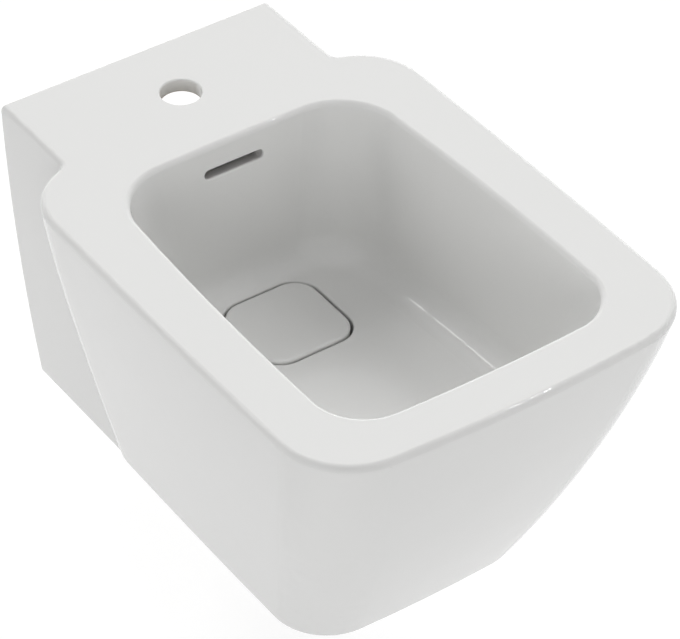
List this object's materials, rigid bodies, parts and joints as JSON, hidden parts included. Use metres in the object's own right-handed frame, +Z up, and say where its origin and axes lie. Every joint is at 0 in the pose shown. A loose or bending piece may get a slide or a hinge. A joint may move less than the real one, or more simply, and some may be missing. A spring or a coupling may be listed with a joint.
{
  "type": "wall-hung bidet",
  "caption": "Wall-hung ceramic bidet with a tap ledge, a flat rounded rim, an overflow slot and a square ceramic cover over a sprung press plug.",
  "frame": {"origin": "middle of the two wall studs, on the wall plane", "axes": "+X to the right seen from the front, +Y into the wall, +Z up; the basin reaches towards -Y"},
  "size_m": [0.359, 0.5405, 0.296],
  "materials": {
    "glazed_ceramic": "white gloss glaze",
    "carrier_plastic": "moulded, light grey",
    "washer_plastic": "moulded nylon, natural",
    "rubber": "matt black",
    "chrome": "polished chrome plate",
    "brass": "turned, bare",
    "steel": "stainless, plain"
  },
  "bodies": {
    "root": {"ceramic_body": "glazed_ceramic", "plunger_spring": "steel", "cartridge_cap": "carrier_plastic", "cartridge_housing": "carrier_plastic", "waste_body": "chrome", "flange_seal": "rubber", "under_seal": "rubber", "slip_washer": "washer_plastic", "backnut": "brass", "fixing_sleeves": "washer_plastic", "fixing_blocks": "brass", "clamp_washers": "washer_plastic", "clamp_screws": "steel"},
    "plug": {"plug_disc": "chrome", "plug_seal": "rubber", "plug_screw": "steel", "plunger": "brass"},
    "cover": {"waste_cover": "glazed_ceramic", "cover_carrier": "carrier_plastic", "grip_ring": "rubber"}
  },
  "joints": [
    {"name": "plug_press", "type": "slide", "parent": "root", "child": "plug", "axis": [0, 0, 1], "range_m": [-0.007, 0], "stiffness_N_per_m": 800, "springref_m": 0.006, "deforming": ["plunger_spring"]},
    {"name": "cover_lift", "type": "slide", "parent": "plug", "child": "cover", "axis": [0, 0, 1], "range_m": [0, 0.165]}
  ]
}
